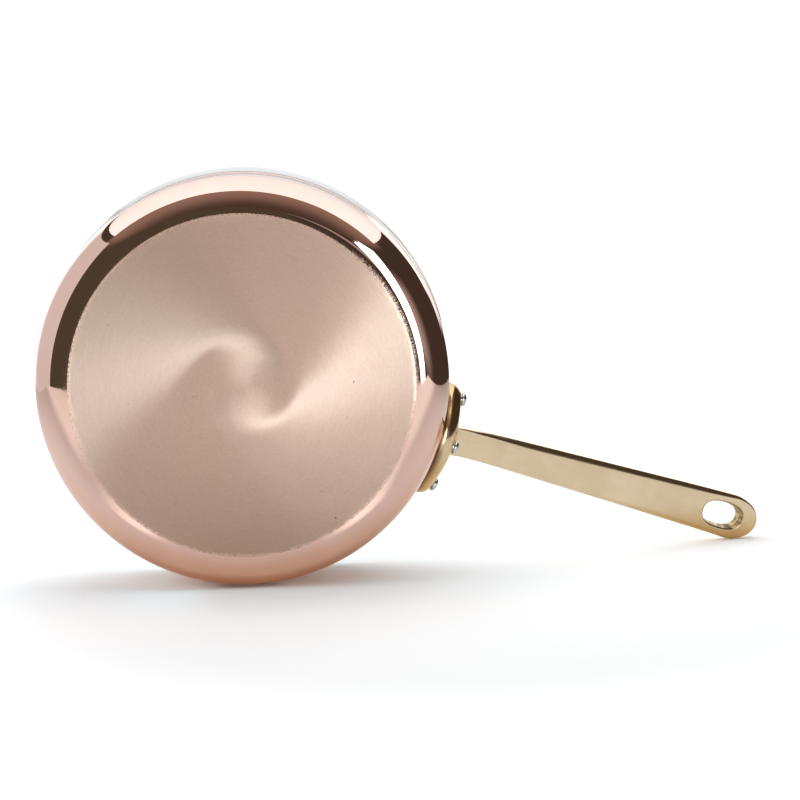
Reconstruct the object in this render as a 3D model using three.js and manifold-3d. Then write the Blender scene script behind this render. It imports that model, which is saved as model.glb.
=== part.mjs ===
// Saute pan: a copper body with a steel lining whose flared rim stands above the copper,
// and a one-piece cast brass handle held on by three steel rivets.
// Millimetres, +Z up. Origin: centre of the underside of the base. The handle runs along +X.

import * as THREE from 'three';
import { mergeVertices } from 'three/addons/utils/BufferGeometryUtils.js';
import Module from 'manifold-3d';

// ---- driving dimensions -------------------------------------------------------------

const SEGMENTS = 60;            // facets round the pan

// pan
const BODY_R = 120;             // outside radius of the straight wall
const CORNER_R = 18;            // outside radius of the corner between base and wall
const COPPER_T = 1.7;           // copper thickness
const STEEL_T = 0.6;            // lining thickness
const SKIN_GAP = 0.2;           // clearance between copper and lining
const COPPER_TOP = 62.4;        // height of the copper's upper edge
const LEAN_FROM = 58;           // height where the wall begins to lean out towards the rim
const LEAN = 0.9;               // how far the copper's upper edge stands out from the wall
const RIM_Z = 70;               // height of the rim
const RIM_R = 123.2;            // outside radius of the flared rim
const RIM_T = 2.0;              // thickness of the rim
const RIM_GAP = 0.5;            // groove between the copper's edge and the steel rim

// handle
const FLANGE_IN_R = 120.3;      // flange's seat, just clear of the wall
const FLANGE_T = 9.5;           // flange thickness at its middle
const FLANGE_EDGE_T = 5.8;      // flange thickness at its outline
const FLANGE_ROUND = 8.5;       // width of the rounded border
const FLANGE_MID_Z = 39;        // height the flange outline is measured from
const HANDLE_RISE = 13.7;       // degrees the handle rises away from the base
const ROOT_X = 133;             // where the handle leaves the flange
const ROOT_Z = 61;              // height there of the straight run of the handle, carried back
const ROOT_DROP = 8;            // how far the curved root falls below that line at the flange
const ROOT_BEND = 10;           // length over which the root's curve dies out
const TIP_X = 347;              // end of the handle
const DROOP_FROM = 285;         // where the handle's end begins to level out
const DROOP = 3;                // how far the tip falls below the straight run
const ROOT_HALF_W = 9.2;        // half width at the root
const END_HALF_W = 14.75;       // half width where the rounded end begins
const END_ROUND = 19;           // length of the rounded end
const ROOT_T = 10.0;            // thickness at the root
const END_T = 9.0;              // thickness at the end
const SLOT_L = 28.6;            // hanging slot, end to end
const SLOT_W = 17.0;            // hanging slot, across
const SLOT_X = 322;             // hanging slot's centre
const SLOT_POWER = 2.5;         // squareness of the slot's oval: 2 is an ellipse

// rivets
const RIVET_R = 3.0;            // shank radius
const RIVET_CLEAR = 0.3;        // clearance round the shank and under the heads
const HEAD_R = 4.25;            // outer head radius
const HEAD_H = 3.2;             // outer head height
const INNER_HEAD_R = 4.8;       // inner head radius
const INNER_HEAD_H = 2.3;       // inner head height
const SIDE_RIVET_DEG = 12.08;   // angle of the two side rivets from the handle's plane
const SIDE_RIVET_Z = 41.5;      // height of the side rivets
const LOWER_RIVET_Z = 28.5;     // height of the rivet under the handle

// ---- helpers ------------------------------------------------------------------------

const wasm = await Module();
wasm.setup();

const rad = THREE.MathUtils.degToRad;

// A closed indexed geometry with merged corners and its faces pointing out.
function closed(geometry) {
  const g = geometry.index ? geometry : mergeVertices(geometry);
  g.deleteAttribute('normal');
  g.deleteAttribute('uv');
  const m = mergeVertices(g, 1e-4);
  const p = m.attributes.position;
  const src = m.index.array;
  const tris = [];
  for (let i = 0; i < src.length; i += 3) {
    const [a, b, c] = [src[i], src[i + 1], src[i + 2]];
    if (a !== b && b !== c && c !== a) tris.push(a, b, c);
  }
  const A = new THREE.Vector3(), B = new THREE.Vector3(), C = new THREE.Vector3();
  let volume = 0;
  for (let i = 0; i < tris.length; i += 3) {
    A.fromBufferAttribute(p, tris[i]);
    B.fromBufferAttribute(p, tris[i + 1]);
    C.fromBufferAttribute(p, tris[i + 2]);
    volume += A.dot(B.cross(C));
  }
  if (volume < 0) {
    for (let i = 0; i < tris.length; i += 3) [tris[i + 1], tris[i + 2]] = [tris[i + 2], tris[i + 1]];
  }
  m.setIndex(tris);
  return m;
}

function solid(geometry) {
  const g = closed(geometry);
  return new wasm.Manifold(new wasm.Mesh({
    numProp: 3,
    vertProperties: new Float32Array(g.attributes.position.array),
    triVerts: new Uint32Array(g.index.array),
  }));
}

function geometryOf(manifold) {
  const mesh = manifold.getMesh();
  const g = new THREE.BufferGeometry();
  const n = mesh.numProp;
  const pos = new Float32Array((mesh.vertProperties.length / n) * 3);
  for (let i = 0; i < pos.length / 3; i++) {
    for (let k = 0; k < 3; k++) pos[3 * i + k] = mesh.vertProperties[n * i + k];
  }
  g.setAttribute('position', new THREE.BufferAttribute(pos, 3));
  g.setIndex(Array.from(mesh.triVerts));
  return g;
}

function piece(name, geometry, color, roughness, metalness) {
  const g = geometry.clone();
  g.computeVertexNormals();
  const mesh = new THREE.Mesh(g, new THREE.MeshStandardMaterial({ color, roughness, metalness }));
  mesh.name = name;
  return mesh;
}

// A profile of [radius, height] pairs turned about the pan's axis.
function turned(profile) {
  const g = new THREE.LatheGeometry(profile.map(([r, z]) => new THREE.Vector2(r, z)), SEGMENTS);
  return g.rotateX(Math.PI / 2);
}

// A quarter-round corner of the given radius about the shared corner centre, from base to wall.
function corner(radius, steps) {
  const cr = BODY_R - CORNER_R;
  return Array.from({ length: steps + 1 }, (_, i) => {
    const a = (Math.PI / 2) * (i / steps);
    return [cr + radius * Math.sin(a), CORNER_R - radius * Math.cos(a)];
  });
}

// A radial cylinder through the wall at a rivet, for its hole.
function rivetHole(angle, z, radius, from, to) {
  const g = new THREE.CylinderGeometry(radius, radius, to - from, 20);
  g.rotateZ(-Math.PI / 2);
  g.translate((from + to) / 2, 0, 0);
  g.rotateZ(rad(angle));
  g.translate(0, 0, z);
  return solid(g);
}

const RIVETS = [
  ['rivet_left', SIDE_RIVET_DEG, SIDE_RIVET_Z],
  ['rivet_right', -SIDE_RIVET_DEG, SIDE_RIVET_Z],
  ['rivet_lower', 0, LOWER_RIVET_Z],
];

function drilled(body, from, to) {
  let cut = body;
  for (const [, angle, z] of RIVETS) cut = cut.subtract(rivetHole(angle, z, RIVET_R + RIVET_CLEAR, from, to));
  return cut;
}

// ---- copper body --------------------------------------------------------------------

const copperInner = corner(CORNER_R - COPPER_T, 6).reverse();
const copperProfile = [
  [0, 0],
  ...corner(CORNER_R, 6),
  [BODY_R, LEAN_FROM],
  [BODY_R + LEAN, COPPER_TOP],
  [BODY_R + LEAN - COPPER_T, COPPER_TOP],
  [BODY_R - COPPER_T, LEAN_FROM],
  ...copperInner,
  [0, COPPER_T],
];
const copper = drilled(solid(turned(copperProfile)), BODY_R - 15, BODY_R + 8);

// ---- steel lining with its flared rim -----------------------------------------------

const wallOut = CORNER_R - COPPER_T - SKIN_GAP;        // corner radius of the lining's outside
const wallIn = wallOut - STEEL_T;                      // corner radius of the lining's inside
const liningR = BODY_R - COPPER_T - SKIN_GAP;
const insideR = liningR - STEEL_T;
const rimFoot = COPPER_TOP + RIM_GAP;

// The rim's outer face goes on from the copper's edge and curves outwards.
const edgeR = BODY_R + LEAN;
const flare = (t) => edgeR + (RIM_R - edgeR) * Math.pow(t, 1.35);
const rimOuter = [0, 0.34, 0.67, 0.94].map((t) => [flare(t), rimFoot + (RIM_Z - rimFoot) * t]);
const rimInner = [0.94, 0.6, 0.25].map((t) => [
  flare(t) - RIM_T - 0.35 * (1 - t), rimFoot + (RIM_Z - rimFoot) * t,
]);
const liningProfile = [
  [0, COPPER_T + SKIN_GAP],
  ...corner(wallOut, 6),
  [liningR, LEAN_FROM],
  [liningR + LEAN, rimFoot],
  ...rimOuter,
  [RIM_R - 0.5, RIM_Z],
  [RIM_R - RIM_T + 0.35, RIM_Z],
  ...rimInner,
  [insideR, rimFoot - 3],
  ...corner(wallIn, 6).reverse(),
  [0, COPPER_T + SKIN_GAP + STEEL_T],
];
const lining = drilled(solid(turned(liningProfile)), BODY_R - 15, BODY_R + 8);

// ---- handle: flange, bar and hanging slot as one casting ------------------------------

// Half of the flange's outline, as arc length from the handle's plane and height.
const FLANGE_HALF = [
  [0, 57.6], [13, 57.2], [24.5, 54.4], [32.5, 49.6], [37.1, 43.4], [37.1, 37.2], [32.8, 32.2],
  [25.5, 28.2], [18.5, 23.8], [11.4, 20.1], [0, 18.3],
];

function flangeOutline(count) {
  const whole = [
    ...FLANGE_HALF.map(([a, z]) => new THREE.Vector3(a, z, 0)),
    ...FLANGE_HALF.slice(1, -1).reverse().map(([a, z]) => new THREE.Vector3(-a, z, 0)),
  ];
  return new THREE.CatmullRomCurve3(whole, true, 'centripetal').getSpacedPoints(count).slice(0, count);
}

function flangeGeometry() {
  const outline = flangeOutline(44);
  const faceR = FLANGE_IN_R + FLANGE_T;
  const insets = [0, 0.6, 2.1, 4.8, FLANGE_ROUND];
  const rings = [];                                   // [inset scale point, thickness]
  for (const d of insets) {
    const t = FLANGE_EDGE_T + (FLANGE_T - FLANGE_EDGE_T) * Math.sqrt(1 - Math.pow(1 - d / FLANGE_ROUND, 2));
    rings.push([d, t]);
  }
  const at = (p, d, k) => {
    const dx = p.x, dz = p.y - FLANGE_MID_Z;
    const len = Math.hypot(dx, dz);
    const s = Math.max(0, 1 - d / len) * k;
    return [dx * s, FLANGE_MID_Z + dz * s];
  };
  const loops = rings.map(([d, t]) => [outline.map((p) => at(p, d, 1)), t]);
  loops.push([outline.map((p) => at(p, FLANGE_ROUND, 0.5)), FLANGE_T]);
  const place = ([arc, z], t) => {
    const a = arc / faceR, r = FLANGE_IN_R + t;
    return [r * Math.cos(a), r * Math.sin(a), z];
  };
  const pos = [];
  const idx = [];
  const n = outline.length;
  const addSide = (thick, flip) => {
    const start = pos.length / 3;
    for (const [loop, t] of loops) for (const q of loop) pos.push(...place(q, thick ? t : 0));
    pos.push(...place([0, FLANGE_MID_Z], thick ? FLANGE_T : 0));
    const centre = pos.length / 3 - 1;
    for (let k = 0; k + 1 < loops.length; k++) {
      for (let i = 0; i < n; i++) {
        const j = (i + 1) % n;
        const a = start + k * n + i, b = start + k * n + j, c = a + n, d = b + n;
        idx.push(...(flip ? [a, c, b, b, c, d] : [a, b, c, b, d, c]));
      }
    }
    const last = start + (loops.length - 1) * n;
    for (let i = 0; i < n; i++) {
      const j = (i + 1) % n;
      idx.push(...(flip ? [last + i, centre, last + j] : [last + i, last + j, centre]));
    }
    return start;
  };
  const outer = addSide(true, false);
  const inner = addSide(false, true);
  for (let i = 0; i < n; i++) {
    const j = (i + 1) % n;
    idx.push(outer + i, inner + i, outer + j, outer + j, inner + i, inner + j);
  }
  const g = new THREE.BufferGeometry();
  g.setAttribute('position', new THREE.BufferAttribute(new Float32Array(pos), 3));
  g.setIndex(idx);
  return g;
}

const cosR = Math.cos(rad(HANDLE_RISE)), sinR = Math.sin(rad(HANDLE_RISE));
// A point of the handle from its station x on the centre line, its offset across and its offset upwards.
function onHandle(x, across, up) {
  const drop = ROOT_DROP * Math.exp(-Math.max(0, x - 130.5) / ROOT_BEND);
  const level = DROOP * Math.pow(Math.max(0, x - DROOP_FROM) / (TIP_X - DROOP_FROM), 2);
  const cx = x, cz = ROOT_Z + (x - ROOT_X) * (sinR / cosR) - drop - level;
  return [cx - up * sinR, across, cz + up * cosR];
}

function halfWidth(x) {
  const endX = TIP_X - END_ROUND;
  const straight = ROOT_HALF_W + (END_HALF_W - ROOT_HALF_W) * ((x - ROOT_X) / (endX - ROOT_X));
  if (x <= endX) return straight + (x < ROOT_X ? 0.5 * (ROOT_X - x) * 0.5 : 0);
  const q = (x - endX) / END_ROUND;
  return (END_HALF_W + 0.3 * q) * Math.sqrt(Math.max(0, 1 - q * q));
}

// How far the rounded long sides bulge, by station: most at mid-length, where the hand closes on them.
const BULGE = [[133, 0.4], [145, 1.2], [187, 3.3], [228, 3.6], [265, 3.6], [303, 2.9], [335, 1.4], [348, 1.0]];

function bulge(x) {
  const k = BULGE.findIndex(([s]) => s >= x);
  if (k <= 0) return BULGE[k < 0 ? BULGE.length - 1 : 0][1];
  const [x0, b0] = BULGE[k - 1], [x1, b1] = BULGE[k];
  return b0 + (b1 - b0) * ((x - x0) / (x1 - x0));
}

function barGeometry() {
  const run = [126, 128.5, 130.5, 133, 136.5, 141, 147, 158, 172, 190, 214, 238, 262, 286, 306, 318];
  const stations = [...run, ...[19, 14.8, 10.6, 6.8, 3.9, 1.8, 0.5].map((d) => TIP_X - d)];
  const sections = stations.map((x) => {
    const q = Math.min(1, Math.max(0, (x - ROOT_X) / (TIP_X - ROOT_X)));
    const w = Math.max(1.6, halfWidth(x));
    const h = (ROOT_T + (END_T - ROOT_T) * Math.min(1, q * 1.6)) / 2;
    const c = Math.min(bulge(x), w * 0.55), arc = (h * h + c * c) / (2 * c);
    const side = [-1, -0.72, -0.32, 0.32, 0.72, 1].map((k) => {
      const u = k * h;
      return [w - (arc - Math.sqrt(arc * arc - u * u)), u];
    });
    return [...side, ...side.map(([y, u]) => [-y, u]).reverse()].map(([y, u]) => onHandle(x, y, u));
  });
  const m = sections[0].length;
  const pos = sections.flat(2);
  const idx = [];
  for (let k = 0; k + 1 < sections.length; k++) {
    for (let i = 0; i < m; i++) {
      const j = (i + 1) % m;
      const a = k * m + i, b = k * m + j, c = a + m, d = b + m;
      idx.push(a, b, c, b, d, c);
    }
  }
  const cap = (k, flip) => {
    for (let i = 1; i + 1 < m; i++) {
      idx.push(...(flip ? [k * m, k * m + i + 1, k * m + i] : [k * m, k * m + i, k * m + i + 1]));
    }
  };
  cap(0, true);
  cap(sections.length - 1, false);
  const g = new THREE.BufferGeometry();
  g.setAttribute('position', new THREE.BufferAttribute(new Float32Array(pos), 3));
  g.setIndex(idx);
  return g;
}

function slotGeometry() {
  // a squarish oval
  const oval = (v) => Math.sign(v) * Math.pow(Math.abs(v), 2 / SLOT_POWER);
  const outline = Array.from({ length: 40 }, (_, i) => {
    const a = (2 * Math.PI * i) / 40;
    return new THREE.Vector2((SLOT_L / 2) * oval(Math.cos(a)), (SLOT_W / 2) * oval(Math.sin(a)));
  });
  const g = new THREE.ExtrudeGeometry(new THREE.Shape(outline), { depth: 30, bevelEnabled: false });
  g.translate(0, 0, -15);
  g.rotateY(-rad(HANDLE_RISE));
  const [x, , z] = onHandle(SLOT_X, 0, 0);
  g.translate(x, 0, z);
  return g;
}

const casting = solid(flangeGeometry()).add(solid(barGeometry())).subtract(solid(slotGeometry()));
const handle = drilled(casting, BODY_R - 5, BODY_R + 11.5);

// ---- rivets ---------------------------------------------------------------------------

// Turned about the rivet's own axis: inner head inside the pan, shank, domed outer head on the flange.
function rivetGeometry() {
  const seatOut = FLANGE_IN_R + FLANGE_T + RIVET_CLEAR;
  const seatIn = insideR - 0.55;
  const dome = (seat, r, h, sign, steps) => Array.from({ length: steps + 1 }, (_, i) => {
    const a = (Math.PI / 2) * (i / steps);
    return [r * Math.cos(a), seat + sign * (0.3 * h + 0.7 * h * Math.sin(a))];
  });
  const inner = dome(seatIn, INNER_HEAD_R, INNER_HEAD_H, -1, 3).reverse();
  inner[0][0] = 0;
  const outer = dome(seatOut, HEAD_R, HEAD_H, 1, 4);
  outer[outer.length - 1][0] = 0;
  const profile = [
    ...inner,
    [INNER_HEAD_R, seatIn],
    [RIVET_R, seatIn],
    [RIVET_R, seatOut],
    [HEAD_R, seatOut],
    ...outer,
  ];
  const g = new THREE.LatheGeometry(profile.map(([r, y]) => new THREE.Vector2(r, y)), 20);
  return closed(g.rotateZ(-Math.PI / 2));
}

// ---- assembly ---------------------------------------------------------------------------

const pan = new THREE.Group();
pan.add(piece('copper_body', geometryOf(copper), 0xc88a6e, 0.12, 1.0));
pan.add(piece('steel_lining', geometryOf(lining), 0xc9c8c6, 0.3, 1.0));
pan.add(piece('handle', geometryOf(handle), 0xc9ab72, 0.22, 1.0));
for (const [name, angle, z] of RIVETS) {
  const rivet = piece(name, rivetGeometry(), 0xbdbcba, 0.25, 1.0);
  rivet.rotation.z = rad(angle);
  rivet.position.z = z;
  pan.add(rivet);
}

export default pan;
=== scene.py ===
import math

import bpy
import numpy as np
from mathutils import Matrix, Vector


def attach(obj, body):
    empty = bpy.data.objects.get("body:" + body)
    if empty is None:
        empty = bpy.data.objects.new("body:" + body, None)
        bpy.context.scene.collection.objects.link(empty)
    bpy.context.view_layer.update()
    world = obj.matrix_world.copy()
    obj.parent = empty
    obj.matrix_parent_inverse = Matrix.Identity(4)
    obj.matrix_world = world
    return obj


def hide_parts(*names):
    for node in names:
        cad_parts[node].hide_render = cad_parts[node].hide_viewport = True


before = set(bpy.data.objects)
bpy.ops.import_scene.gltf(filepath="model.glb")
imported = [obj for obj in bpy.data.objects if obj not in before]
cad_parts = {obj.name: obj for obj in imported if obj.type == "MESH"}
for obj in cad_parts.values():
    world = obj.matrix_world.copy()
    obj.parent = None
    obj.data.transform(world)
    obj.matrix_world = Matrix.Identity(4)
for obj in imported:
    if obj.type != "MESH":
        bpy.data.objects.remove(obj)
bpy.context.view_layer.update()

MM = 0.001

# ---------------------------------------------------------------------------------------------------------------------
# sizes of the pan, in millimetres (row frame: +Z up along the pan's axis, +X along the handle)
# ---------------------------------------------------------------------------------------------------------------------
BODY_R, CORNER_R, COPPER_T, COPPER_TOP = 120.0, 18.0, 1.7, 62.4
LEAN_FROM, LEAN = 58.0, 0.9
CORNER_C = BODY_R - CORNER_R
BRUSH_R = 99.4
LIN_OUT, LIN_IN, LIN_FOOT = 118.1, 117.5, 62.9
RIM_Z, RIM_R, RIM_T = 70.0, 123.2, 2.0
SEAT_R, FACE_R, EDGE_R, FLANGE_ROUND = 120.3, 129.8, 121.6, 8.5
FLANGE_HALF = [(0, 57.6), (13, 57.2), (24.5, 54.4), (32.5, 49.6), (37.1, 43.4), (37.1, 37.2), (32.8, 32.2), (25.5, 28.2), (18.5, 23.8), (11.4, 20.1), (0, 18.3)]
RISE = math.radians(13.7)
ROOT_X, ROOT_Z, TIP_X = 133.0, 61.0, 347.0
ROOT_DROP, ROOT_BEND = 8.0, 10.0
DROOP_FROM, DROOP = 285.0, 3.0
ROOT_W, END_W, END_X = 9.2, 14.75, 328.0
SLOT_X, SLOT_L, SLOT_W, SLOT_P, SLOT_DRAFT = 321.5, 28.6, 17.0, 2.5, 0.13
BULGE = [(133, 0.4), (145, 1.2), (187, 3.3), (228, 3.6), (265, 3.6), (303, 2.9), (335, 1.4), (348, 1.0)]
RIVETS = {"rivet_right": (-12.08, 41.5), "rivet_left": (12.08, 41.5), "rivet_lower": (0.0, 28.5)}

# the pan lies on its wall with the base to the camera: right, up and toward the camera, in the row frame
LIE = math.radians(108.5)
P_RIGHT = Vector((math.sin(LIE), math.cos(LIE), 0))
P_UP = Vector((math.cos(LIE), -math.sin(LIE), 0))
P_NEAR = Vector((0, 0, -1))


def lying(r, u, t):
    return P_RIGHT * r + P_UP * u + P_NEAR * t


# ---------------------------------------------------------------------------------------------------------------------
# mesh helpers
# ---------------------------------------------------------------------------------------------------------------------
def new_mesh(name, verts, faces, mats=(), normals=None):
    me = bpy.data.meshes.new(name)
    me.from_pydata([tuple(v) for v in verts], [], [tuple(f) for f in faces])
    me.update()
    me.polygons.foreach_set("use_smooth", [True] * len(me.polygons))
    ob = bpy.data.objects.new(name, me)
    bpy.context.collection.objects.link(ob)
    for m in mats:
        me.materials.append(m)
    if normals is not None:
        me.normals_split_custom_set_from_vertices([tuple(n) for n in normals])
    return ob


def sharpen(ob, angle):
    """Edges whose faces meet at more than this angle stay crisp."""
    me = ob.data
    normals = np.empty(len(me.polygons) * 3)
    me.polygons.foreach_get("normal", normals)
    normals = normals.reshape(-1, 3)
    pairs = {}
    for p in me.polygons:
        for k in p.edge_keys:
            pairs.setdefault(k, []).append(p.index)
    limit = math.cos(math.radians(angle))
    for e in me.edges:
        f = pairs.get(e.key, ())
        if len(f) == 2 and float(normals[f[0]] @ normals[f[1]]) < limit:
            e.use_edge_sharp = True


def lathe(profile, segments, place=None):
    """Vertices and faces of a closed profile of (radius, height), turned about Z. A radius of 0 is a pole. Faces keep the number of their profile step."""
    verts, rings, faces, steps = [], [], [], []
    for r, z in profile:
        if r < 1e-6:
            rings.append([len(verts)])
            verts.append((0, 0, z))
        else:
            ring = []
            for i in range(segments):
                a = 2 * math.pi * i / segments
                ring.append(len(verts))
                verts.append((r * math.cos(a), r * math.sin(a), z))
            rings.append(ring)
    for k in range(len(rings)):
        a, b = rings[k], rings[(k + 1) % len(rings)]
        if len(a) == 1 and len(b) == 1:
            continue
        for i in range(segments):
            j = (i + 1) % segments
            if len(a) == 1:
                faces.append((a[0], b[j], b[i]))
            elif len(b) == 1:
                faces.append((a[i], a[j], b[0]))
            else:
                faces.append((a[i], a[j], b[j], b[i]))
            steps.append(k)
    if place:
        verts = [place(v) for v in verts]
    return verts, faces, steps


def arc(cx, cz, r, a0, a1, n):
    return [(cx + r * math.cos(math.radians(a0 + (a1 - a0) * i / n)), cz + r * math.sin(math.radians(a0 + (a1 - a0) * i / n))) for i in range(n + 1)]


def scale(verts):
    return [(v[0] * MM, v[1] * MM, v[2] * MM) for v in verts]


# ---------------------------------------------------------------------------------------------------------------------
# node helpers
# ---------------------------------------------------------------------------------------------------------------------
class Nodes:
    def __init__(self, tree):
        self.tree = tree
        tree.nodes.clear()

    def add(self, kind, **props):
        n = self.tree.nodes.new(kind)
        for k, v in props.items():
            setattr(n, k, v)
        return n

    def link(self, a, b):
        self.tree.links.new(a, b)

    def put(self, socket, value):
        if isinstance(value, bpy.types.NodeSocket):
            self.link(value, socket)
        elif value is not None:
            socket.default_value = value

    def math(self, op, a, b=None, c=None, clamp=False):
        n = self.add("ShaderNodeMath", operation=op, use_clamp=clamp)
        for i, v in enumerate((a, b, c)):
            if v is not None:
                self.put(n.inputs[i], v)
        return n.outputs[0]

    def vec(self, op, a, b=None, scale=None):
        n = self.add("ShaderNodeVectorMath", operation=op)
        self.put(n.inputs[0], a)
        if b is not None:
            self.put(n.inputs[1], b)
        if scale is not None:
            self.put(n.inputs["Scale"], scale)
        return n.outputs["Value"] if op in ("DOT_PRODUCT", "LENGTH", "DISTANCE") else n.outputs["Vector"]

    def step(self, x, lo, hi, a=0.0, b=1.0):
        """Smooth change from a to b while x goes from lo to hi."""
        n = self.add("ShaderNodeMapRange", interpolation_type="SMOOTHSTEP", clamp=True)
        for name, v in (("Value", x), ("From Min", lo), ("From Max", hi), ("To Min", a), ("To Max", b)):
            self.put(n.inputs[name], v)
        return n.outputs["Result"]

    def mix(self, f, a, b, blend="MIX"):
        n = self.add("ShaderNodeMix", data_type="RGBA", blend_type=blend)
        self.put(n.inputs[0], f)
        self.put(n.inputs[6], a)
        self.put(n.inputs[7], b)
        return n.outputs[2]

    def noise(self, vector, scale, detail=2.0, rough=0.5, dims="3D", distortion=0.0):
        n = self.add("ShaderNodeTexNoise", noise_dimensions=dims)
        self.put(n.inputs["Vector"], vector)
        self.put(n.inputs["Scale"], scale)
        self.put(n.inputs["Detail"], detail)
        self.put(n.inputs["Roughness"], rough)
        self.put(n.inputs["Distortion"], distortion)
        return n.outputs["Fac"]

    def combine(self, x, y, z):
        n = self.add("ShaderNodeCombineXYZ")
        for i, v in enumerate((x, y, z)):
            self.put(n.inputs[i], v)
        return n.outputs[0]

    def separate(self, v):
        n = self.add("ShaderNodeSeparateXYZ")
        self.put(n.inputs[0], v)
        return n.outputs

    def curve(self, x, points):
        n = self.add("ShaderNodeFloatCurve")
        c = n.mapping.curves[0]
        c.points[0].location = points[0]
        c.points[1].location = points[-1]
        for p in points[1:-1]:
            c.points.new(*p)
        n.mapping.update()
        self.put(n.inputs["Value"], x)
        return n.outputs[0]

    def bump(self, height, strength, distance):
        n = self.add("ShaderNodeBump")
        n.inputs["Strength"].default_value = strength
        n.inputs["Distance"].default_value = distance
        self.put(n.inputs["Height"], height)
        return n.outputs[0]


def rgba(r, g, b):
    return (r, g, b, 1.0)


def metal(name, **sockets):
    m = bpy.data.materials.new(name)
    m.use_nodes = True
    n = Nodes(m.node_tree)
    out = n.add("ShaderNodeOutputMaterial")
    p = n.add("ShaderNodeBsdfPrincipled")
    n.link(p.outputs[0], out.inputs[0])
    p.inputs["Metallic"].default_value = 1.0
    for k, v in sockets.items():
        p.inputs[k.replace("_", " ")].default_value = v
    return m, n, p


def round_coords(n):
    """Object position, distance from the pan's axis in metres and angle about it."""
    tc = n.add("ShaderNodeTexCoord")
    pos = tc.outputs["Object"]
    x, y, z = n.separate(pos)
    rho = n.math("SQRT", n.math("ADD", n.math("MULTIPLY", x, x), n.math("MULTIPLY", y, y)))
    ang = n.math("ARCTAN2", y, x)
    return pos, x, y, z, rho, ang


# ---------------------------------------------------------------------------------------------------------------------
# materials
# ---------------------------------------------------------------------------------------------------------------------
COPPER = (0.90, 0.62, 0.52)


def make_brushed_copper():
    m, n, p = metal("copper_brushed", Anisotropic=1.0)
    pos, x, y, z, rho, ang = round_coords(n)
    # the brush was set down a little off the centre, and wandered once before it ran true
    off = n.step(rho, 0.018, 0.032, 0.0026, 0.0)
    low = n.math("MULTIPLY", n.step(rho, 0.014, 0.026, 0.0, 0.0022), n.step(rho, 0.034, 0.046, 1.0, 0.0))
    bx = n.math("SUBTRACT", x, n.math("ADD", n.math("MULTIPLY", off, P_RIGHT.x), n.math("MULTIPLY", low, P_UP.x)))
    by = n.math("SUBTRACT", y, n.math("ADD", n.math("MULTIPLY", off, P_RIGHT.y), n.math("MULTIPLY", low, P_UP.y)))
    brho = n.math("SQRT", n.math("ADD", n.math("MULTIPLY", bx, bx), n.math("MULTIPLY", by, by)))
    # the grooves run round the base near its edge and turn inward more and more towards the centre
    turn = n.curve(n.math("DIVIDE", brho, 0.1), [(0.0, 0.84), (0.046, 0.858), (0.116, 0.937), (0.185, 0.97), (0.22, 0.92), (0.2546, 0.85), (0.289, 0.70), (0.324, 0.545), (0.37, 0.458), (0.417, 0.403), (0.463, 0.371), (0.579, 0.3025), (0.694, 0.256), (0.81, 0.228), (0.926, 0.192), (1.0, 0.173)])
    stray = n.math("MULTIPLY", n.math("SUBTRACT", n.noise(pos, 2600.0, 1.0, 0.5), 0.5), n.step(brho, 0.0, 0.029, 8.2, 0.2))
    turn = n.math("MULTIPLY_ADD", turn, math.radians(120.0), stray)
    x, y = bx, by
    er = n.vec("NORMALIZE", n.combine(x, y, 0.0))
    et = n.vec("NORMALIZE", n.combine(y, n.math("MULTIPLY", x, -1.0), 0.0))
    c, s = n.math("COSINE", turn), n.math("SINE", turn)
    across = n.vec("ADD", n.vec("SCALE", er, scale=c), n.vec("SCALE", et, scale=s))
    n.link(across, p.inputs["Tangent"])
    # fine lines of the brush: narrow across the grooves, long along them
    swirl = n.math("ADD", ang, n.math("DIVIDE", 0.022, n.math("ADD", rho, 0.006)))
    lines = n.combine(n.math("MULTIPLY", rho, 900.0), n.math("MULTIPLY", n.math("COSINE", swirl), 3.4), n.math("MULTIPLY", n.math("SINE", swirl), 3.4))
    fine = n.noise(lines, 2.6, 4.0, 0.66)
    satin = n.noise(pos, 520.0, 3.0, 0.6)
    tone = n.math("ADD", n.math("MULTIPLY", fine, 0.6), n.math("MULTIPLY", satin, 0.4))
    base = n.mix(n.step(tone, 0.34, 0.66), rgba(0.875, 0.631, 0.52), rgba(0.937, 0.692, 0.582))
    # a few dark specks, and the broken dark line where the brush stopped
    speck = n.step(n.noise(pos, 330.0, 0.0, 0.5), 0.875, 0.895)
    ragged = n.noise(n.combine(n.math("MULTIPLY", rho, 320.0), n.math("MULTIPLY", n.math("COSINE", ang), 62.0), n.math("MULTIPLY", n.math("SINE", ang), 62.0)), 1.6, 2.0, 0.6)
    stop = n.math("MULTIPLY", n.step(rho, 0.0968, 0.0993), n.step(ragged, 0.36, 0.60))
    n.link(n.mix(n.math("MAXIMUM", n.math("MULTIPLY", speck, 0.7), n.math("MULTIPLY", stop, 0.42)), base, rgba(0.30, 0.17, 0.12)), p.inputs["Base Color"])
    rough = n.step(tone, 0.3, 0.7, 0.52, 0.45)
    rough = n.math("MULTIPLY", rough, n.step(rho, 0.03, 0.09, 0.94, 1.0))
    n.link(n.math("MULTIPLY", rough, n.math("MULTIPLY_ADD", stop, -0.78, 1.0)), p.inputs["Roughness"])
    n.link(n.bump(fine, 0.05, 0.00005), p.inputs["Normal"])
    return m


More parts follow.
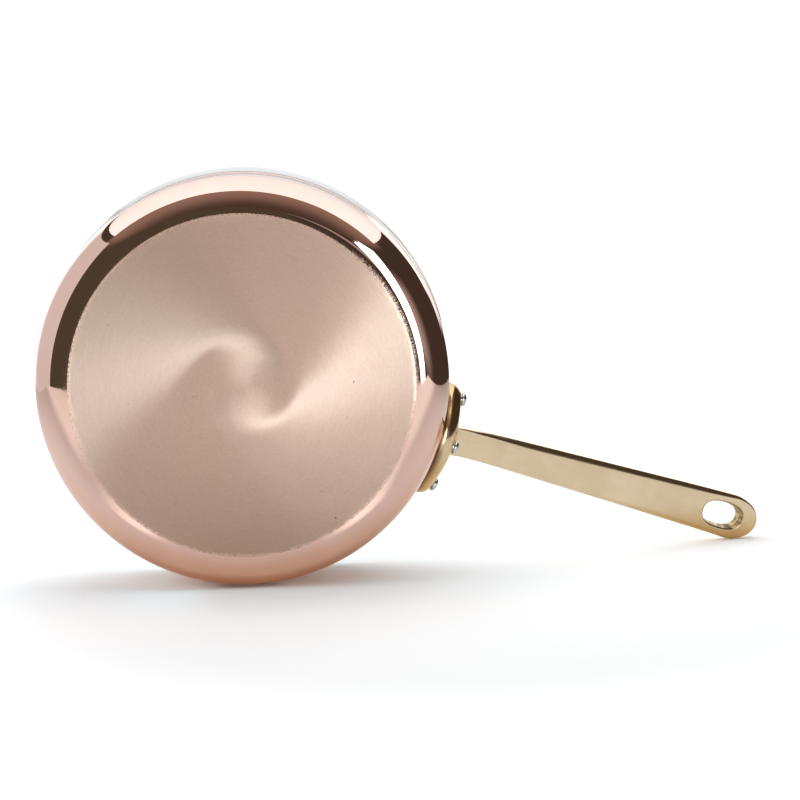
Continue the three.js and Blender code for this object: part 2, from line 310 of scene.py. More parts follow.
def make_polished_copper():
    m, n, p = metal("copper_polished")
    pos, x, y, z, rho, ang = round_coords(n)
    # buffing lines run round the wall, with a faint haze and a few marks from handling
    lines = n.combine(n.math("MULTIPLY", n.math("ADD", z, rho), 700.0), n.math("MULTIPLY", n.math("COSINE", ang), 5.0), n.math("MULTIPLY", n.math("SINE", ang), 5.0))
    buff = n.noise(lines, 1.0, 3.0, 0.6)
    haze = n.noise(pos, 22.0, 4.0, 0.55)
    n.link(n.mix(n.step(haze, 0.35, 0.68), rgba(0.895, 0.615, 0.525), rgba(0.925, 0.655, 0.57)), p.inputs["Base Color"])
    # stray marks of the base's brush on the flat ring beside it
    hairs = n.noise(n.combine(n.math("MULTIPLY", rho, 320.0), n.math("MULTIPLY", n.math("COSINE", ang), 70.0), n.math("MULTIPLY", n.math("SINE", ang), 70.0)), 1.6, 2.0, 0.6)
    ring = n.math("MULTIPLY", n.step(rho, 0.0998, 0.1021, 1.0, 0.0), n.step(hairs, 0.35, 0.65, 0.3, 1.0))
    side = n.math("DIVIDE", n.vec("DOT_PRODUCT", pos, tuple(P_RIGHT)), rho)
    ring = n.math("MULTIPLY", ring, n.step(z, 0.0005, 0.001, 1.0, 0.0))
    gloss = n.step(n.math("ADD", n.math("MULTIPLY", haze, 0.6), n.math("MULTIPLY", buff, 0.4)), 0.35, 0.7, 0.02, 0.05)
    n.link(n.math("MULTIPLY_ADD", ring, n.math("MULTIPLY", n.step(side, 0.5, 0.8, 0.03, 0.15), n.step(side, 0.88, 0.99, 1.0, 0.65)), gloss), p.inputs["Roughness"])
    swell = n.noise(pos, 40.0, 1.0, 0.5)
    height = n.math("ADD", n.math("MULTIPLY", buff, 0.02), n.math("MULTIPLY", swell, 0.05))
    n.link(n.bump(height, 0.35, 0.0001), p.inputs["Normal"])
    return m


def make_edge_copper():
    m, n, p = metal("copper_edge")
    pos, x, y, z, rho, ang = round_coords(n)
    # the trimmed edge beside the rim is dull, and painted dark in mottled tones: painted shade for the crease where the
    # copper meets the steel rim
    spots = n.noise(pos, 160.0, 3.0, 0.6)
    n.link(n.mix(n.step(spots, 0.3, 0.7), rgba(0.22, 0.15, 0.12), rgba(0.42, 0.30, 0.25)), p.inputs["Base Color"])
    n.link(n.step(spots, 0.3, 0.7, 0.5, 0.34), p.inputs["Roughness"])
    return m


def make_steel(name, colour, rough, around):
    m, n, p = metal(name, Anisotropic=0.6 if around else 0.0)
    pos, x, y, z, rho, ang = round_coords(n)
    if around:
        er = n.vec("NORMALIZE", n.combine(x, y, 0.0))
        et = n.vec("NORMALIZE", n.combine(y, n.math("MULTIPLY", x, -1.0), 0.0))
        nrm = n.add("ShaderNodeNewGeometry").outputs["Normal"]
        n.link(n.vec("CROSS_PRODUCT", nrm, et), p.inputs["Tangent"])
        lines = n.combine(n.math("MULTIPLY", n.math("ADD", z, rho), 1100.0), n.math("MULTIPLY", n.math("COSINE", ang), 3.0), n.math("MULTIPLY", n.math("SINE", ang), 3.0))
        grain = n.noise(lines, 1.6, 4.0, 0.6)
    else:
        grain = n.noise(pos, 900.0, 3.0, 0.6)
    haze = n.noise(pos, 30.0, 3.0, 0.5)
    tone = n.math("ADD", n.math("MULTIPLY", grain, 0.6), n.math("MULTIPLY", haze, 0.4))
    n.link(n.mix(n.step(tone, 0.36, 0.66), rgba(*(c * 0.9 for c in colour)), rgba(*colour)), p.inputs["Base Color"])
    n.link(n.step(tone, 0.3, 0.7, rough * 1.15, rough * 0.85), p.inputs["Roughness"])
    n.link(n.bump(grain, 0.08, 0.00005), p.inputs["Normal"])
    return m


COS_R, SIN_R = math.cos(RISE), math.sin(RISE)


def make_brass():
    m, n, p = metal("brass_polished")
    tc = n.add("ShaderNodeTexCoord")
    pos = tc.outputs["Object"]
    # polishing lines run along the bar, and fade out towards the flange
    x = n.separate(pos)[0]
    turn = n.add("ShaderNodeVectorRotate", rotation_type="Y_AXIS")
    n.link(pos, turn.inputs["Vector"])
    turn.inputs["Angle"].default_value = RISE
    along = n.vec("MULTIPLY", turn.outputs[0], (40.0, 900.0, 900.0))
    bar = n.step(x, 0.131, 0.15)
    lines = n.math("MULTIPLY", n.math("SUBTRACT", n.noise(along, 1.0, 3.0, 0.6), 0.5), bar)
    cloud = n.noise(pos, 45.0, 3.0, 0.55)
    pores = n.noise(pos, 700.0, 2.0, 0.5)
    tone = n.math("ADD", n.math("MULTIPLY", lines, 0.3), cloud)
    base = n.mix(n.step(tone, 0.33, 0.68), rgba(0.85, 0.675, 0.445), rgba(0.92, 0.75, 0.52))
    # painted shade: the flange's sides below its face are toned a deeper, darker gold, most towards its ends
    fy = n.separate(pos)[1]
    away = n.math("SQRT", n.math("ADD", n.math("MULTIPLY", x, x), n.math("MULTIPLY", fy, fy)))
    deep = n.math("MULTIPLY", n.step(away, 0.1285, 0.134, 1.0, 0.0), n.step(n.math("ABSOLUTE", fy), 0.004, 0.02, 0.25, 1.0))
    base = n.mix(deep, base, rgba(0.90, 0.79, 0.60), "MULTIPLY")
    # painted shade: the crevice between the flange and the pan's wall is painted near black
    crevice_shade = n.step(n.math("ADD", away, n.step(fy, -0.004, 0.006, 0.003, 0.0)), 0.1212, 0.1255, 0.9, 0.0)
    base = n.mix(crevice_shade, base, rgba(0.16, 0.095, 0.04))
    pit = n.step(n.noise(pos, 260.0, 1.0, 0.5), 0.80, 0.85)
    # painted shade: the slot's wall is painted darker and mottled, and made rougher
    bx, by, bz = n.separate(turn.outputs[0])
    mid = (SLOT_X * COS_R + (ROOT_Z + (SLOT_X - ROOT_X) * math.tan(RISE) - 1.1) * SIN_R) * MM
    ls = n.math("POWER", n.math("DIVIDE", n.math("ABSOLUTE", n.math("SUBTRACT", bx, mid)), SLOT_L / 2 * MM), SLOT_P)
    ly = n.math("POWER", n.math("DIVIDE", n.math("ABSOLUTE", by), SLOT_W / 2 * MM), SLOT_P)
    slot_shade = n.step(n.math("ADD", ls, ly), 1.04, 1.16, 1.0, 0.0)
    mottle = n.step(n.noise(pos, 330.0, 3.0, 0.6), 0.38, 0.66)
    base = n.mix(n.math("MULTIPLY", slot_shade, 0.85), base, n.mix(mottle, rgba(0.15, 0.09, 0.03), rgba(0.72, 0.52, 0.25)))
    n.link(n.mix(n.math("MULTIPLY", pit, 0.5), base, rgba(0.34, 0.24, 0.12)), p.inputs["Base Color"])
    n.link(n.math("MULTIPLY_ADD", slot_shade, 0.2, n.step(tone, 0.33, 0.68, 0.17, 0.10)), p.inputs["Roughness"])
    height = n.math("ADD", n.math("MULTIPLY", lines, 0.06), n.math("ADD", n.math("MULTIPLY", pores, 0.05), n.math("MULTIPLY", cloud, 1.0)))
    n.link(n.bump(height, 0.25, 0.0001), p.inputs["Normal"])
    return m


brushed = make_brushed_copper()
polished = make_polished_copper()
edge_copper = make_edge_copper()
lining_steel = make_steel("steel_satin", (0.77, 0.755, 0.74), 0.27, True)
rivet_steel = make_steel("steel_polished", (0.72, 0.715, 0.71), 0.12, False)
brass = make_brass()


# ---------------------------------------------------------------------------------------------------------------------
# pan body: copper shell and steel lining
# ---------------------------------------------------------------------------------------------------------------------
def line(a, b, n):
    return [(a[0] + (b[0] - a[0]) * i / n, a[1] + (b[1] - a[1]) * i / n) for i in range(n + 1)]


def chain(*runs):
    out = []
    for run in runs:
        for p in run:
            if not out or math.hypot(p[0] - out[-1][0], p[1] - out[-1][1]) > 1e-4:
                out.append(p)
    return out


def lean(z):
    """How far the wall stands out at this height, below the rim."""
    return LEAN * min(max((z - LEAN_FROM) / (COPPER_TOP - LEAN_FROM), 0.0), 1.0) ** 1.4


def copper_shell():
    inner_r = BODY_R - COPPER_T
    outside = chain(
        [(0, 0)],
        line((4, 0), (BRUSH_R, 0), 12),
        line((BRUSH_R, 0), (CORNER_C, 0), 2),
        arc(CORNER_C, CORNER_R, CORNER_R, -90, 0, 30),
        line((BODY_R, CORNER_R), (BODY_R, LEAN_FROM - 1), 10),
        [(BODY_R + lean(z), z) for z in (LEAN_FROM, 58.7, 59.4, 60.1, 60.8, 61.3, 61.7, COPPER_TOP - 0.3)],
        arc(BODY_R + LEAN - 0.35, COPPER_TOP - 0.3, 0.3, 0, 90, 4),
        arc(inner_r + LEAN + 0.3, COPPER_TOP - 0.3, 0.3, 90, 180, 3),
        [(inner_r + lean(z), z) for z in (61.3, 60.1, LEAN_FROM)],
        line((inner_r, LEAN_FROM - 1), (inner_r, CORNER_R), 10),
        arc(CORNER_C, CORNER_R, CORNER_R - COPPER_T, 0, -90, 20),
        line((CORNER_C, COPPER_T), (4, COPPER_T), 8),
        [(0, COPPER_T)],
    )
    verts, faces, steps = lathe(outside, 240)
    ob = new_mesh("pan_copper", scale(verts), faces, (brushed, polished, edge_copper))
    index = []
    for k in steps:
        a, b = outside[k], outside[(k + 1) % len(outside)]
        if a[1] < 1e-6 and b[1] < 1e-6 and max(a[0], b[0]) <= BRUSH_R + 1e-6:
            index.append(0)
        else:
            index.append(2 if min(a[1], b[1]) > 61.2 else 1)
    ob.data.polygons.foreach_set("material_index", index)
    sharpen(ob, 50)
    return ob


def flare(t):
    return BODY_R + LEAN + (RIM_R - BODY_R - LEAN) * t ** 1.35


def steel_shell():
    h = RIM_Z - LIN_FOOT
    outer = [(flare(i / 14 * 0.94), LIN_FOOT + h * i / 14 * 0.94) for i in range(15)]
    crown = [(RIM_R - 0.16, RIM_Z - 0.3), (RIM_R - 0.34, RIM_Z - 0.08), (RIM_R - 0.6, RIM_Z), (RIM_R - 1.55, RIM_Z), (RIM_R - 1.85, RIM_Z - 0.1), (RIM_R - 2.05, RIM_Z - 0.4)]
    inner = [(flare(t) - RIM_T - 0.35 * (1 - t), LIN_FOOT + h * t) for t in [0.93 - 0.93 * i / 12 for i in range(13)]]
    profile = chain(
        [(0, 1.9)],
        line((4, 1.9), (CORNER_C, 1.9), 6),
        arc(CORNER_C, CORNER_R, LIN_OUT - CORNER_C, -90, 0, 20),
        line((LIN_OUT, CORNER_R), (LIN_OUT, LEAN_FROM), 8),
        [(LIN_OUT + lean(z), z) for z in (59.4, 60.8, 61.8)],
        [(LIN_OUT + LEAN, LIN_FOOT), (BODY_R + LEAN - 0.15, LIN_FOOT), (BODY_R + LEAN, LIN_FOOT + 0.12)],
        outer[1:],
        crown,
        inner,
        [(LIN_IN + 0.72, 61.6), (LIN_IN + 0.36, 60.2), (LIN_IN + 0.12, 58.9), (LIN_IN, 57.4)],
        line((LIN_IN, 57.4), (LIN_IN, CORNER_R), 10),
        arc(CORNER_C, CORNER_R, LIN_IN - CORNER_C, 0, -90, 26),
        line((CORNER_C, 2.5), (4, 2.5), 12),
        [(0, 2.5)],
    )
    verts, faces, steps = lathe(profile, 240)
    ob = new_mesh("pan_lining", scale(verts), faces, (lining_steel,))
    sharpen(ob, 50)
    return ob


# ---------------------------------------------------------------------------------------------------------------------
# handle: flange and bar as one rounded casting
# ---------------------------------------------------------------------------------------------------------------------
def centripetal(points, per=8):
    n, out = len(points), []
    pts = [np.array(p, float) for p in points]
    for i in range(n):
        p0, p1, p2, p3 = pts[i - 1], pts[i], pts[(i + 1) % n], pts[(i + 2) % n]
        t0 = 0.0
        t1 = t0 + np.linalg.norm(p1 - p0) ** 0.5
        t2 = t1 + np.linalg.norm(p2 - p1) ** 0.5
        t3 = t2 + np.linalg.norm(p3 - p2) ** 0.5
        for k in range(per):
            t = t1 + (t2 - t1) * k / per
            a1 = (t1 - t) / (t1 - t0) * p0 + (t - t0) / (t1 - t0) * p1
            a2 = (t2 - t) / (t2 - t1) * p1 + (t - t1) / (t2 - t1) * p2
            a3 = (t3 - t) / (t3 - t2) * p2 + (t - t2) / (t3 - t2) * p3
            b1 = (t2 - t) / (t2 - t0) * a1 + (t - t0) / (t2 - t0) * a2
            b2 = (t3 - t) / (t3 - t1) * a2 + (t - t1) / (t3 - t1) * a3
            out.append((t2 - t) / (t2 - t1) * b1 + (t - t1) / (t2 - t1) * b2)
    return np.array(out)


def evened(points, count, blur):
    """The closed outline at equal steps, with its changes of curvature smoothed over this many steps."""
    loop = np.vstack([points, points[:1]])
    run = np.concatenate([[0], np.cumsum(np.linalg.norm(np.diff(loop, axis=0), axis=1))])
    at = np.linspace(0, run[-1], count, endpoint=False)
    even = np.stack([np.interp(at, run, loop[:, k]) for k in range(2)], 1)
    weight = np.exp(-0.5 * (np.arange(-3 * blur, 3 * blur + 1) / blur) ** 2)
    weight /= weight.sum()
    soft = sum(w * np.roll(even, k - 3 * blur, axis=0) for k, w in enumerate(weight))
    # give back what the smoothing took off
    return soft + (even.max(0) - soft.max(0)).mean() * (soft - soft.mean(0)) / np.linalg.norm(soft - soft.mean(0), axis=1, keepdims=True)


OUTLINE = evened(centripetal(FLANGE_HALF + [(-a, z) for a, z in FLANGE_HALF[-2:0:-1]], 24), 420, 8)
COS, SIN = math.cos(RISE), math.sin(RISE)
TIP_S = (TIP_X - ROOT_X) / COS
END_S = (END_X - ROOT_X) / COS
END_L = TIP_S - END_S
SLOT_S = (SLOT_X - ROOT_X) / COS


def to_world(q):
    return np.stack([ROOT_X + q[:, 0] * COS - q[:, 2] * SIN, q[:, 1], ROOT_Z + q[:, 0] * SIN + q[:, 2] * COS], 1)


def polygon_distance(px, py, poly):
    best = np.full(px.shape, 1e9)
    inside = np.zeros(px.shape, bool)
    for a, b in zip(poly, np.roll(poly, -1, 0)):
        ex, ey = b - a
        wx, wy = px - a[0], py - a[1]
        t = np.clip((wx * ex + wy * ey) / (ex * ex + ey * ey), 0, 1)
        best = np.minimum(best, (wx - t * ex) ** 2 + (wy - t * ey) ** 2)
        hit = (a[1] > py) != (b[1] > py)
        inside ^= hit & (px < ex * (py - a[1]) / (ey if abs(ey) > 1e-12 else 1e-12) + a[0])
    d = np.sqrt(best)
    return np.where(inside, -d, d)


def soft_min(a, b, k):
    h = np.clip(0.5 + 0.5 * (b - a) / k, 0, 1)
    return b + (a - b) * h - k * h * (1 - h)


def soft_max(a, b, k):
    return -soft_min(-a, -b, k)


def bar_field(s, y, v):
    # the root curves down to the flange and the end levels out: back to the straight bar's own station and height
    def below(x):
        return ROOT_DROP * np.exp(-np.maximum(x - 130.5, 0) / ROOT_BEND) + DROOP * (np.maximum(x - DROOP_FROM, 0) / (TIP_X - DROOP_FROM)) ** 2

    st = s.copy()
    for _ in range(7):
        st = s + SIN * below(ROOT_X + st * COS)
    v = v + COS * below(ROOT_X + st * COS)
    s, x = st, ROOT_X + st * COS
    w = ROOT_W + (END_W - ROOT_W) * np.minimum(s / END_S, 1) + np.where(s < 0, -0.25 * s * COS, 0)
    ay = np.abs(y)
    q = np.clip(s / TIP_S, 0, 1)
    half = 0.5 * (10 - 1.0 * np.minimum(1, 1.6 * q))
    ds = np.maximum(s - END_S, 0)
    e = np.sqrt((ds / END_L) ** 2 + (ay / w) ** 2 + 1e-12)
    g = np.sqrt((ds / END_L**2) ** 2 + (ay / w**2) ** 2 + 1e-12) / e
    plan = np.where(s > END_S, (e - 1) / g, ay - w)
    c = np.interp(x, [b[0] for b in BULGE], [b[1] for b in BULGE])
    round_r = (half * half + c * c) / (2 * c)
    flank = np.hypot(np.maximum(plan + round_r, 0), v) - round_r
    face = np.abs(v) - half + 0.35 * np.clip(1 + plan / w, 0, 1) ** 2
    f = soft_max(flank, face, 0.6)
    # hanging slot, a squarish oval with eased edges
    draft = SLOT_DRAFT * np.clip(v + half, 0, 2 * half)
    a, b = SLOT_L / 2 - draft, SLOT_W / 2 - draft
    es = np.maximum(np.abs(s - SLOT_S), 1e-3)
    ey = np.maximum(ay, 1e-3)
    e = ((es / a) ** SLOT_P + (ey / b) ** SLOT_P) ** (1 / SLOT_P)
    g = e ** (1 - SLOT_P) * np.hypot(es ** (SLOT_P - 1) / a**SLOT_P, ey ** (SLOT_P - 1) / b**SLOT_P)
    slot = (e - 1) / np.maximum(g, 0.5 / a)
    f = soft_max(f, -slot, 1.3)
    return np.maximum(f, -(s + 7.2))


def handle_field(q):
    s, y, v = q[:, 0], q[:, 1], q[:, 2]
    f = bar_field(s, y, v)
    near = s < 9.0
    if near.any():
        w = to_world(q[near])
        rho = np.hypot(w[:, 0], w[:, 1])
        ang = np.arctan2(w[:, 1], w[:, 0])
        fl = np.abs(rho - 125.0)
        ring = fl < 8.0
        out = polygon_distance(ang[ring] * FACE_R, w[ring, 2], OUTLINE)
        # the edge tucks in at the wall, then an oval shoulder leads up to the face
        out = out + 0.9 * np.clip((122.0 - rho[ring]) / 1.7, 0, 1) ** 2
        a, b, deep = np.maximum(out + FLANGE_ROUND, 0), np.maximum(rho[ring] - EDGE_R, 0), FACE_R - EDGE_R
        e = np.hypot(a / FLANGE_ROUND, b / deep)
        slope = np.hypot(a / FLANGE_ROUND**2, b / deep**2) / np.maximum(e, 1e-6)
        fl[ring] = np.where(e > 0.3, (e - 1) / np.maximum(slope, 1e-3), np.maximum(out, rho[ring] - FACE_R))
        g = soft_min(fl, f[near], 2.2)
        g = soft_max(g, SEAT_R - rho, 0.5)
        for deg, z in RIVETS.values():
            t = math.radians(deg)
            across = -w[:, 0] * math.sin(t) + w[:, 1] * math.cos(t)
            ahead = w[:, 0] * math.cos(t) + w[:, 1] * math.sin(t)
            hole = np.where(ahead > 0, np.hypot(across, w[:, 2] - z), 99) - 3.3
            g = np.maximum(g, -hole)
        f = f.copy()
        f[near] = g
    return f


def surface_of(field, lo, hi, cell):
    """A closed quad mesh of the field's zero level, with each vertex moved onto it."""
    dims = [int(math.ceil((h - l) / cell)) + 1 for l, h in zip(lo, hi)]
    axes = [l + cell * np.arange(n) for l, n in zip(lo, dims)]
    val = np.empty(dims)
    for i0 in range(0, dims[0], 40):
        gx, gy, gz = np.meshgrid(axes[0][i0 : i0 + 40], axes[1], axes[2], indexing="ij")
        val[i0 : i0 + 40] = field(np.stack([gx.ravel(), gy.ravel(), gz.ravel()], 1)).reshape(gx.shape)
    inside = val < 0
    count = np.zeros([n - 1 for n in dims], int)
    corners = [(a, b, c) for a in (0, 1) for b in (0, 1) for c in (0, 1)]
    for a, b, c in corners:
        count += inside[a : a + dims[0] - 1, b : b + dims[1] - 1, c : c + dims[2] - 1]
    active = (count > 0) & (count < 8)
    idx = np.argwhere(active)
    number = np.full(active.shape, -1)
    number[active] = np.arange(len(idx))
    cv = np.stack([val[idx[:, 0] + a, idx[:, 1] + b, idx[:, 2] + c] for a, b, c in corners], 1)
    total = np.zeros((len(idx), 3))
    hits = np.zeros(len(idx))
    for i, p in enumerate(corners):
        for j, r in enumerate(corners):
            if j <= i or sum(abs(p[k] - r[k]) for k in range(3)) != 1:
                continue
            cross = (cv[:, i] < 0) != (cv[:, j] < 0)
            t = np.where(cross, cv[:, i] / np.where(cross, cv[:, i] - cv[:, j], 1), 0)
            pt = np.array(p) + t[:, None] * (np.array(r) - np.array(p))
            total += np.where(cross[:, None], pt, 0)
            hits += cross
    pos = np.array(lo) + cell * (idx + total / hits[:, None])
    quads = []
    for ax in range(3):
        o1, o2 = (ax + 1) % 3, (ax + 2) % 3
        sl0 = [slice(None)] * 3
        sl1 = [slice(None)] * 3
        sl0[ax], sl1[ax] = slice(0, -1), slice(1, None)
        e = np.argwhere(inside[tuple(sl0)] != inside[tuple(sl1)])
        e = e[(e[:, o1] > 0) & (e[:, o2] > 0) & (e[:, o1] < dims[o1] - 1) & (e[:, o2] < dims[o2] - 1)]
        out = inside[tuple(sl0)][e[:, 0], e[:, 1], e[:, 2]]

        def cellno(d1, d2):
            c = e.copy()
            c[:, o1] -= d1
            c[:, o2] -= d2
            return number[c[:, 0], c[:, 1], c[:, 2]]

        a, b, c, d = cellno(1, 1), cellno(0, 1), cellno(0, 0), cellno(1, 0)
        quads.append(np.where(out[:, None], np.stack([a, b, c, d], 1), np.stack([d, c, b, a], 1)))
    quads = np.concatenate(quads)

    def gradient(p):
        h = 0.02
        g = np.empty_like(p)
        for k in range(3):
            d = np.zeros(3)
            d[k] = h
            g[:, k] = (field(p + d) - field(p - d)) / (2 * h)
        return g

    def settle(p, times):
        for _ in range(times):
            g = gradient(p)
            stepv = field(p)[:, None] * g / np.maximum((g * g).sum(1), 0.2)[:, None]
            size = np.linalg.norm(stepv, axis=1, keepdims=True)
            p = p - stepv * np.minimum(1, 0.5 * cell / np.maximum(size, 1e-9))
        return p

    pos = settle(pos, 2)
    for _ in range(2):
        sums, n = np.zeros_like(pos), np.zeros(len(pos))
        for k in range(4):
            a, b = quads[:, k], quads[:, (k + 1) % 4]
            np.add.at(sums, a, pos[b])
            np.add.at(sums, b, pos[a])
            np.add.at(n, a, 1)
            np.add.at(n, b, 1)
        pos = settle(pos + 0.5 * (sums / n[:, None] - pos), 2)
    g = gradient(pos)
    return pos, quads, g / np.linalg.norm(g, axis=1, keepdims=True)


def handle_piece():
    pos, quads, normals = surface_of(handle_field, (-26.0, -39.4, -43.4), (TIP_S + 1.5, 39.4, 7.5), 0.62)
    verts = to_world(pos) * MM
    nw = np.stack([normals[:, 0] * COS - normals[:, 2] * SIN, normals[:, 1], normals[:, 0] * SIN + normals[:, 2] * COS], 1)
    return new_mesh("handle_casting", verts, quads.tolist(), (brass,), nw)


# ---------------------------------------------------------------------------------------------------------------------
# rivets: domed outer head, shank, flatter inner head
# ---------------------------------------------------------------------------------------------------------------------
def rivet_piece(node):
    deg, z = RIVETS[node]
    t = math.radians(deg)
    out, inn = FACE_R + 0.3, LIN_IN - 0.55

    def dome(r, h, straight):
        pts = [(r - 0.25, 0.0), (r, 0.25)] + [(r, h * straight)]
        for i in range(1, 12):
            a = math.pi / 2 * i / 12
            pts.append((r * math.cos(a), h * straight + h * (1 - straight) * math.sin(a)))
        return pts + [(0, h)]

    outer = [(r, out + h) for r, h in dome(4.25, 3.2, 0.3)]
    inner = [(r, inn - h) for r, h in dome(4.8, 2.3, 0.3)]
    profile = list(reversed(inner)) + [(3.0, inn), (3.0, out)] + outer
    verts, faces, steps = lathe(profile, 48)

    def place(v):
        a, b, c = v
        # local z is the radial axis
        return (c * math.cos(t) - a * math.sin(t), c * math.sin(t) + a * math.cos(t), z + b)

    ob = new_mesh(node + "_piece", scale([place(v) for v in verts]), faces, (rivet_steel,))
    sharpen(ob, 50)
    return ob


copper = copper_shell()
lining = steel_shell()
handle = handle_piece()
for ob, node, slot in [(copper, "copper_body", "copper"), (lining, "steel_lining", "steel"), (handle, "handle", "brass")]:
    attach(ob, "root")
    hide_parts(node)
for node in RIVETS:
    ob = rivet_piece(node)
    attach(ob, "root")
    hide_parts(node)

# ---------------------------------------------------------------------------------------------------------------------
# stage: the table the pan lies on, open from behind
# ---------------------------------------------------------------------------------------------------------------------
FLOOR_N = lying(-0.01777, 0.99821, -0.05708).normalized()
FLOOR_D = -118.735 - 0.15


def on_table(r, t):
    u = (FLOOR_D - r * P_RIGHT.dot(FLOOR_N) - t * P_NEAR.dot(FLOOR_N)) / P_UP.dot(FLOOR_N)
    return lying(r, u, t)


def panel(name, points, mat, facing):
    """A flat stage panel from points in millimetres, its front to the given side."""
    order = list(range(len(points)))
    normal = Vector((0, 0, 0))
    for a, b in zip(points, points[1:] + points[:1]):
        normal += a.cross(b)
    if normal.dot(facing) < 0:
        order.reverse()
    ob = new_mesh(name, [tuple(v * MM) for v in points], [order], (mat,))
    return ob


floor_mat = bpy.data.materials.new("stage_white")
floor_mat.use_nodes = True
n = Nodes(floor_mat.node_tree)
ray = n.add("ShaderNodeLightPath").outputs["Is Camera Ray"]
where = n.add("ShaderNodeTexCoord").outputs["Object"]
fr = n.math("DIVIDE", n.vec("DOT_PRODUCT", where, tuple(P_RIGHT)), MM)
ft = n.math("DIVIDE", n.vec("DOT_PRODUCT", where, tuple(P_NEAR)), MM)


def spot(r, t, kr, kt):
    """Distance on the table from a point, with the two directions weighted."""
    a = n.math("MULTIPLY", n.math("SUBTRACT", fr, r), kr)
    b = n.math("MULTIPLY", n.math("SUBTRACT", ft, t), kt)
    return n.math("SQRT", n.math("ADD", n.math("MULTIPLY", a, a), n.math("MULTIPLY", b, b)))


# copper and brass throw a warm light on the white under them
warm = n.step(spot(0.0, -20.0, 0.42, 1.0), 10.0, 110.0, 1.0, 0.0)
gold = n.step(spot(300.0, -100.0, 0.6, 1.0), 5.0, 60.0, 1.0, 0.0)
far = n.step(spot(115.0, -40.0, 1.0, 1.0), 235.0, 475.0)
front = n.step(ft, 230.0, 420.0)
tint = n.mix(gold, n.mix(warm, rgba(1.08, 1.08, 1.08), rgba(0.94, 0.91, 0.78)), rgba(0.90, 0.70, 0.42))
# painted light and shade, seen by the camera only: near the pan the table is painted a cooler, dimmer white, and a
# brighter, cooler white just left of it
side = n.math("MULTIPLY", n.step(fr, -8.0, -36.0), n.step(fr, -95.0, -50.0))
# painted shadow, seen by the camera only: a grey patch where the pan touches the table
contact_shadow = n.step(spot(0.0, -13.0, 0.3, 1.0), 4.0, 9.0, 1.0, 0.0)
diff = n.add("ShaderNodeBsdfDiffuse")
n.link(n.mix(ray, tint, n.mix(warm, rgba(1.48, 1.49, 1.50), n.mix(side, n.mix(contact_shadow, rgba(1.12, 1.23, 1.28), rgba(0.5, 0.5, 0.5)), rgba(1.30, 1.56, 1.68)))), diff.inputs["Color"])
# painted light: the table glows faintly warm beside the pan and pale in front of it, most straight ahead, in
# reflections; to the camera it glows white far from the pan
fill = n.add("ShaderNodeEmission")
ahead = n.math("MULTIPLY", n.math("MULTIPLY", n.step(ft, 85.0, 150.0), n.step(ft, 260.0, 400.0, 1.0, 0.5)), n.step(n.math("ABSOLUTE", fr), 50.0, 125.0, 1.0, 0.0))
glow = n.mix(front, n.mix(warm, rgba(0, 0, 0), rgba(0.06, 0.022, 0.006)), rgba(0.42, 0.41, 0.39))
glow = n.mix(ahead, glow, n.mix(1.0, glow, rgba(0.85, 0.825, 0.79), "ADD"))
n.link(n.mix(ray, glow, n.mix(far, rgba(0.05, 0.05, 0.05), rgba(0.9, 0.9, 0.9))), fill.inputs["Color"])
fill.inputs["Strength"].default_value = 1.0
lit = n.add("ShaderNodeAddShader")
n.link(diff.outputs[0], lit.inputs[0])
n.link(fill.outputs[0], lit.inputs[1])
clear = n.add("ShaderNodeBsdfTransparent")
both = n.add("ShaderNodeMixShader")
n.link(n.add("ShaderNodeNewGeometry").outputs["Backfacing"], both.inputs[0])
n.link(lit.outputs[0], both.inputs[1])
n.link(clear.outputs[0], both.inputs[2])
n.link(both.outputs[0], n.add("ShaderNodeOutputMaterial").inputs[0])
TABLE = [(-1103, -2600), (640, -2600), (709, -1136), (858, -813), (874, -422), (813, -110), (726, 137), (635, 317), (568, 439), (521, 519), (470, 580), (280, 560), (38, 555), (-179, 566), (-272, 571), (-436, 545), (-624, 486), (-866, 379), (-1100, 232), (-1103, -746)]
panel("stage_table", [on_table(r, t) for r, t in TABLE], floor_mat, FLOOR_N)

# ---------------------------------------------------------------------------------------------------------------------
# soft studio light: a bright scrim overhead, a pale wall to the left, a softbox and a reflector beside the camera, a dark room elsewhere
# ---------------------------------------------------------------------------------------------------------------------
def light_panel(name, points, facing, front, back=None, fade=(0.0, 1.0)):
    """A panel that shines from its front only, unseen by the camera. Its light may fade towards the back of the room."""
    mat = bpy.data.materials.new(name)
    mat.use_nodes = True
    n = Nodes(mat.node_tree)
    glow = n.add("ShaderNodeEmission")
    if back is None:
        glow.inputs["Color"].default_value = rgba(*front)
    else:
        depth = n.separate(n.add("ShaderNodeTexCoord").outputs["Object"])[2]
        n.link(n.mix(n.step(depth, *fade), rgba(*front), rgba(*back)), glow.inputs["Color"])
    clear = n.add("ShaderNodeBsdfTransparent")
    both = n.add("ShaderNodeMixShader")
    n.link(n.add("ShaderNodeNewGeometry").outputs["Backfacing"], both.inputs[0])
    n.link(glow.outputs[0], both.inputs[1])
    n.link(clear.outputs[0], both.inputs[2])
    n.link(both.outputs[0], n.add("ShaderNodeOutputMaterial").inputs[0])
    ob = panel(name, points, mat, facing)
    ob.visible_camera = False
    return ob


